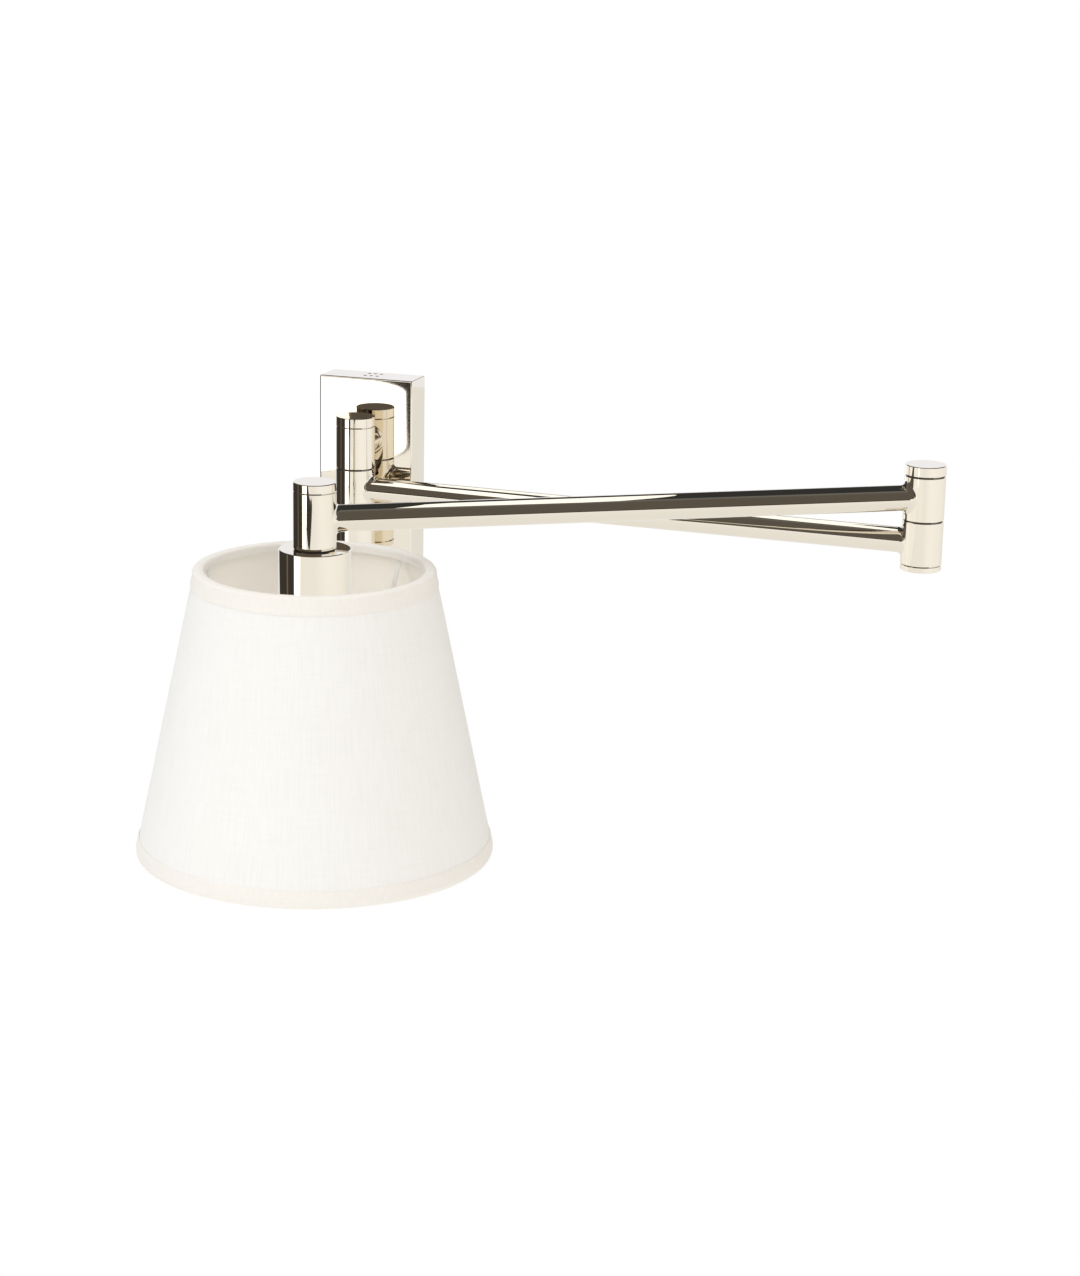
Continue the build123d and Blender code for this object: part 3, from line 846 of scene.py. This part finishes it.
# Right side of the dark gap in the floor in front, a stripe on the post and the head.
GAP_EDGE: Outline = [(-0.9, -3.98), (-0.151, -4.062), (0.458, -4.273), (0.75, -4.4), (0.55, -4.5),
                     (-0.85, -4.53), (-0.85, -4.95)]
FLOOR_OUTLINE: Outline = [*LEFT_EDGE, (-1.65, -3.97), *GAP_EDGE, (-1.5, -5.1), (-3.3, -12.0),
                          (12.0, -12.0), (12.0, 5.0)]
# These close the gap: all of it, and the part that the post doesn't show.
GAP_OUTLINE: Outline = [*bend((-1.65, -3.97), (-1.5, -4.17), (-1.565, -4.346)), (-1.6, -4.6),
                        (-1.5, -5.1), *reversed(GAP_EDGE)]
WEDGE_OUTLINE: Outline = [(-0.85, -3.985), *GAP_EDGE[1:6]]
# Lit board on the floor in front, at the left, with two rounded corners.
FRONT_OUTLINE: Outline = [(-1.9, -3.93), (-2.5, -5.3),
                          *bend((-2.1, -5.13), (-1.845, -5.11), (-1.795, -4.93)),
                          *bend((-1.575, -4.346), (-1.5, -4.17), (-1.65, -3.97)), (-1.7, -3.95)]
# Pale sheet to the left of the floor, which the elbow mirrors.
SIDE_OUTLINE: Outline = [(-6.0, 5.0), (-6.0, -6.0), (-2.5, -5.3), (-1.9, -3.93), *reversed(LEFT_EDGE)]
# Lit wing on the floor: the white band on the post, the head and the cup.
WING_OUTLINE: Outline = [(-2.3, -2.45), (-3.75, -3.95), (-2.6, -5.0), (-1.75, -4.95), (-1.75, -4.53),
                         (-1.45, -4.5), (-1.4, -3.99), (-1.6, -3.9), (-1.35, -2.95)]
# Overhead panels: the white line on the first arm near the elbow, and its white band near the post.
CEILING_OUTLINE: Outline = [(-0.7, 0.3), (0.013, 0.152), (0.176, -0.013), (0.279, -0.07), (0.3, 0.0),
                            (0.194, 0.35), (0.2, 0.9), (-0.7, 0.9)]
ROOT_OUTLINE: Outline = [(-0.35, 0.35), (-0.2, 0.2), (-0.145, -0.02), (-0.09, -0.03), (0.0, -0.1),
                         (0.0, -0.52), (-0.19, -0.48), (-0.235, -0.35), (-0.35, -0.2)]
# Overhead panel: the white streak along the second arm.
STREAK_OUTLINE: Outline = [(0.215, -0.23), (0.39, -0.22), (0.403, -0.186), (0.19, 0.32), (0.06, 0.145),
                           (0.084, 0.048)]
# Upright screens, in width and height: the plate's pale edge, and the white of the post's cap.
EDGE_OUTLINE: Outline = [(-1.6, 0.62), (0.6, 0.62), (0.6, 3.0), (-1.6, 3.0)]
CAP_OUTLINE: Outline = [(-1.2, 0.33), (-0.64, 0.33), (-0.628, 0.42), (-1.2, 0.42)]


def lay(outline: Outline, level: float, layer: int = 0) -> list[Point]:
    """Lays an outline flat at a level, on a thin layer of its own where sheets overlap."""
    return [(x, y, level + layer * LAYER) for x, y in outline]


def stand(outline: Outline) -> list[Point]:
    """Stands an outline upright in front of the lamp."""
    return [(x, SCREEN_DEPTH, z) for x, z in outline]


def stage_sheet(name: str, corners: Sequence[Point], material: Material) -> Object:
    """Makes a flat sheet of the studio.

    Args:
        name: name of the sheet.
        corners: its corners in order.
        material: its material.

    Returns:
        The sheet, face up.
    """
    form = bmesh.new()
    face = form.faces.new([form.verts.new(corner) for corner in corners])
    face.normal_update()
    if face.normal.z < 0:
        face.normal_flip()
    sheet = add_mesh(name, form, material)
    LOG.info("studio sheet %s", name)
    return sheet


@dataclass
class Board:
    """A lit sheet that polished faces show and nothing else does.

    It shines on all pieces, or is tied to the pieces that it names.
    """

    name: str
    corners: list[Point]
    glow: float
    pieces: tuple[str, ...] = ()
    link: Link = Link.ONLY

    def material(self) -> Material:
        """A plain white glow, which a tied board adds to what is behind it."""
        material, graph = new_material("studio_" + self.name)
        surface = graph.add("ShaderNodeEmission")
        surface.inputs["Strength"].default_value = self.glow
        if self.pieces:
            clear = graph.add("ShaderNodeBsdfTransparent")
            surface = graph.add("ShaderNodeAddShader", surface.outputs[0], clear.outputs[0])
        graph.finish(surface)
        return material

    def build(self) -> None:
        """Puts up the board and ties it to its pieces."""
        board = stage_sheet(self.name, self.corners, self.material())
        for rays in ("camera", "diffuse", "shadow", "transmission"):
            setattr(board, "visible_" + rays, False)
        if self.pieces:
            tied = bpy.data.collections.new(self.name + "_pieces")
            for name in self.pieces:
                tied.objects.link(frame["nodes"].get(name, bpy.data.objects.get(name)))
            for entry in tied.collection_objects:
                entry.light_linking.link_state = self.link.value
            board.light_linking.receiver_collection = tied


BOARDS: tuple[Board, ...] = (
    Board("front_board", lay(FRONT_OUTLINE, FLOOR_LEVEL, 1), FULL_GLOW),
    Board("ceiling_board", lay(CEILING_OUTLINE, CEILING_LEVEL), CEILING_GLOW, ("arm_1_tube",)),
    Board("root_board", lay(ROOT_OUTLINE, CEILING_LEVEL, 1), CEILING_GLOW, ("arm_1_tube",)),
    Board("streak_board", lay(STREAK_OUTLINE, CEILING_LEVEL, 2), CEILING_GLOW, ("arm_2_tube",)),
    Board("side_board", lay(SIDE_OUTLINE, FLOOR_LEVEL), SIDE_GLOW, ELBOW_PIECES),
    Board("wing_board", lay(WING_OUTLINE, FLOOR_LEVEL, 2), FULL_GLOW, POST_PIECES + HEAD_PIECES),
    Board("edge_screen", stand(EDGE_OUTLINE), SIDE_GLOW, ("wall_plate",)),
    Board("cap_screen", stand(CAP_OUTLINE), FULL_GLOW, ("wall_plate", "post_cap")),
    Board("post_patch", lay(WEDGE_OUTLINE, FLOOR_LEVEL, 1), FLOOR_GLOW, POST_PIECES),
    Board("gap_patch", lay(GAP_OUTLINE, FLOOR_LEVEL), FLOOR_GLOW, POST_PIECES + HEAD_PIECES, Link.ALL_BUT),
)


@dataclass
class Floor:
    """White paper: lit and shadowed near the lamp, plain white far off and in mirrors, open from below.

    The gains are how much brighter mirrors show it.
    """

    colour: Colour = (0.94, 0.94, 0.94)
    roughness: float = 0.9
    shadow_middle: Point = (0.12, -0.18, FLOOR_LEVEL)
    shadow_near: float = 0.3
    shadow_far: float = 0.75
    right_from: float = 1.0
    right_to: float = 4.0
    left_gain: float = -0.08
    right_gain: float = 0.045
    depth_gain: float = -0.013

    def material(self) -> Material:
        """Paper and plain white in one; mirrors show it a little brighter to the right and in front."""
        material, graph = new_material("studio_floor")
        paper = graph.tree.nodes["Principled BSDF"]
        graph.feed(paper.inputs["Base Color"], self.colour)
        graph.feed(paper.inputs["Roughness"], self.roughness)
        graph.feed(paper.inputs["Specular IOR Level"], 0.0)
        path = graph.add("ShaderNodeLightPath").outputs
        place = graph.place()
        x, y, _ = graph.split(place)
        reach = graph.add("ShaderNodeVectorMath", place, self.shadow_middle, operation="DISTANCE")
        away = graph.span(reach.outputs["Value"], self.shadow_near, self.shadow_far)
        seen = graph.times(path["Is Camera Ray"], away)
        mirrored = graph.math("MAXIMUM", path["Is Glossy Ray"], path["Is Transmission Ray"])
        across = graph.span(x, self.right_from, self.right_to, self.left_gain, self.right_gain)
        gain = graph.math("MULTIPLY_ADD", y, self.depth_gain, across)
        white = graph.add("ShaderNodeEmission")
        graph.feed(white.inputs["Strength"], graph.math("MULTIPLY_ADD", gain, path["Is Glossy Ray"], 1.0))
        upper = graph.blend(graph.math("MAXIMUM", seen, mirrored), paper, white)
        back = graph.add("ShaderNodeNewGeometry").outputs["Backfacing"]
        below = graph.times(back, path["Is Camera Ray"])
        graph.finish(graph.blend(below, upper, graph.add("ShaderNodeBsdfTransparent")))
        return material

    def build(self) -> None:
        """Lays the floor."""
        stage_sheet("floor", lay(FLOOR_OUTLINE, FLOOR_LEVEL), self.material())


@dataclass
class Room:
    """The world: even light for matt faces, a dark room and pale backdrop for mirrors, plain white behind.

    Its edges are soft, each between two values of the direction.
    """

    front: Colour = (0.115, 0.10, 0.085)
    sides: Colour = (0.16, 0.158, 0.15)
    side_edge: Flat = (-0.3, -0.1)
    back: Colour = (0.036, 0.037, 0.038)
    back_edge: Flat = (-0.06, 0.04)
    below: Colour = (0.045, 0.042, 0.036)
    below_edge: Flat = (-0.05, 0.03)
    door: Colour = (0.18, 0.138, 0.10)
    door_near: Flat = (-0.33, -0.27)
    door_far: Flat = (-0.23, -0.17)
    backdrop: Colour = (0.96, 0.98, 1.05)
    backdrop_way: Flat = (0.59, 0.81)
    backdrop_edge: Flat = (0.02, 0.16)
    backdrop_top: Flat = (0.30, 0.42)
    warm_side: Colour = (0.99, 0.935, 0.855)
    warm_edge: Flat = (-0.2, 0.8)
    side_light: float = 0.56
    sky_light: float = 0.97

    def mirrored(self, graph: Graph, x: Socket, y: Socket, z: Socket) -> Socket:
        """What mirrors show of the room.

        Args:
            graph: the world's tree.
            x: part of the direction to the right.
            y: part of it towards the wall.
            z: part of it upwards.

        Returns:
            The colour in that direction.
        """
        room = graph.mix(graph.span(y, *self.side_edge), self.front, self.sides)
        room = graph.mix(graph.span(y, *self.back_edge), room, self.back)
        door = graph.times(graph.span(y, *self.door_near), graph.span(y, *self.door_far, 1.0, 0.0))
        below = graph.mix(door, self.below, self.door)
        room = graph.mix(graph.span(z, *self.below_edge), below, room)
        way_x, way_y = self.backdrop_way
        behind = graph.math("MULTIPLY_ADD", y, way_y, graph.times(x, way_x))
        low = graph.span(z, *self.backdrop_top, 1.0, 0.0)
        return graph.mix(graph.times(graph.span(behind, *self.backdrop_edge), low), room, self.backdrop)

    def build(self) -> None:
        """Makes the world and gives it to the scene."""
        world = bpy.data.worlds.new("studio")
        world.use_nodes = True
        bpy.context.scene.world = world
        graph = Graph(world.node_tree)
        path = graph.add("ShaderNodeLightPath").outputs
        x, y, z = graph.split(graph.add("ShaderNodeTexCoord").outputs["Generated"])
        warmth = graph.mix(graph.span(x, *self.warm_edge), WHITE, self.warm_side)
        lit = graph.add("ShaderNodeVectorMath", warmth, operation="SCALE")
        graph.feed(lit.inputs["Scale"], graph.span(z, 0.0, 1.0, self.side_light, self.sky_light))
        even = graph.mix(path["Is Glossy Ray"], lit.outputs[0], self.mirrored(graph, x, y, z))
        clear = graph.math("MAXIMUM", path["Is Camera Ray"], path["Is Transmission Ray"])
        background = world.node_tree.nodes["Background"]
        graph.feed(background.inputs["Color"], graph.mix(clear, even, WHITE))


@dataclass
class Softbox:
    """A square soft light aimed at the lamp; mirrors show the studio's own whites in its stead."""

    name: str
    place: Point
    size: float
    power: float

    def build(self) -> None:
        """Hangs the light and aims it."""
        data = bpy.data.lights.new(self.name, "AREA")
        data.size = self.size
        data.energy = self.power
        light = add_object(self.name, data)
        light.location = self.place
        aim = Vector(LAMP_MIDDLE) - Vector(self.place)
        light.rotation_euler = aim.to_track_quat("-Z", "Y").to_euler()
        light.visible_glossy = False
        light.visible_camera = False


@dataclass
class View:
    """The camera, at the viewing angle that was worked out for the picture."""

    place: Point = (0.6722, -1.7566, 0.40005)
    heading: float = 17.57
    pitch: float = 15.221
    roll: float = 1.109
    lens: float = 80.57
    sensor: float = 36.0

    def build(self) -> None:
        """Sets up the camera and gives it to the scene."""
        heading, pitch, roll = (math.radians(a) for a in (self.heading, self.pitch, self.roll))
        ahead = math.cos(pitch)
        forward = Vector((-math.sin(heading) * ahead, math.cos(heading) * ahead, -math.sin(pitch)))
        right = forward.cross(Vector((0, 0, 1))).normalized()
        up = right.cross(forward)
        level = Matrix((right, up, -forward)).transposed()
        data = bpy.data.cameras.new("camera")
        data.lens = self.lens
        data.sensor_width = self.sensor
        camera = add_object("camera", data)
        turned = level @ Matrix.Rotation(roll, 3, "Z")
        camera.matrix_world = Matrix.Translation(self.place) @ turned.to_4x4()
        bpy.context.scene.camera = camera


@dataclass
class Studio:
    """The camera, the floor, the lit boards, the room and the soft lights."""

    view: View
    floor: Floor
    boards: tuple[Board, ...]
    room: Room
    softboxes: tuple[Softbox, ...]

    def build(self) -> None:
        """Sets up everything round the lamp."""
        bpy.context.scene.view_settings.view_transform = "Standard"
        for thing in (self.view, self.floor, *self.boards, self.room, *self.softboxes):
            thing.build()


SOFTBOXES: tuple[Softbox, ...] = (
    Softbox("key_softbox", (-1.75, -1.95, 1.5), size=1.6, power=19.6),
    Softbox("fill_softbox", (1.5, -2.15, 1.0), size=1.6, power=13.5),
    Softbox("low_softbox", (0.06, -0.25, -0.86), size=0.9, power=1.4),
)

FINISHES: tuple[Finish, ...] = (
    MetalFinish(Slot.NICKEL, (0.855, 0.79, 0.675), (0.845, 0.78, 0.665), 0.012, roughest=0.026),
    MetalFinish(Slot.ZINC, (0.60, 0.60, 0.58), (0.50, 0.51, 0.50), 0.28, roughest=0.42, smear_scale=60.0,
                relief=0.02 * MM),
    MetalFinish(Slot.BRASS, (0.72, 0.52, 0.25), (0.62, 0.42, 0.18), 0.18, roughest=0.34, smear_scale=80.0,
                relief=0.02 * MM),
    SmoothFinish(Slot.WASHER, (0.035, 0.030, 0.025), (0.05, 0.045, 0.04), 0.6, relief=0.03 * MM),
    SmoothFinish(Slot.HOLDER, (0.84, 0.82, 0.78), (0.80, 0.78, 0.73), 0.18, coat=0.3),
    SmoothFinish(Slot.RING_NUT, (0.82, 0.81, 0.78), (0.78, 0.77, 0.73), 0.3, coat=0.2),
    SmoothFinish(Slot.WIRE, (0.93, 0.915, 0.885), (0.90, 0.88, 0.845), 0.4, coat=0.1),
    # Liner: partly its own cream styrene colour, partly painted light, raised and warmed to stand in for
    # light shining through the linen into the shade.
    SmoothFinish(Slot.LINER, (0.96, 0.925, 0.86), (0.945, 0.905, 0.835), 0.55, cloud_scale=18.0,
                 relief=0.02 * MM),
    ClothFinish(Slot.LINEN, (0.922, 0.918, 0.898), (0.868, 0.860, 0.834), 0.85,
                slub_width=0.9 * MM, slub_length=24.0 * MM),
    ClothFinish(Slot.TRIM, (0.916, 0.89, 0.848), (0.862, 0.832, 0.78), 0.88, thread_pitch=0.7 * MM,
                slub_width=0.6 * MM, slub_length=6.0 * MM),
)


def dress_frame(finishes: Finishes) -> None:
    """Gives every node of the frame the finish of its slot."""
    slots = {row["node"]: Slot(row["material_slot"]) for row in frame["record"]["subparts"]}
    for name, node in frame["nodes"].items():
        for holder in node.material_slots:
            holder.material = finishes[slots[name]]
        LOG.info("node %s: %s", name, slots[name].value)


def clear_start_scene() -> None:
    """Removes what a new file holds besides the frame."""
    kept = set(frame["nodes"].values()) | set(frame["bodies"].values())
    for thing in [o for o in bpy.data.objects if o not in kept]:
        bpy.data.objects.remove(thing)


def main() -> None:
    """Builds the scene."""
    logging.basicConfig(level=logging.INFO, format="%(name)s: %(message)s")
    clear_start_scene()
    bpy.context.view_layer.update()
    finishes = {finish.slot: finish.build() for finish in FINISHES}
    dress_frame(finishes)
    for assembly in ASSEMBLIES:
        assembly.dress(finishes)
    Studio(View(), Floor(), BOARDS, Room(), SOFTBOXES).build()
    bpy.context.view_layer.update()


if __name__ == "__main__":
    main()
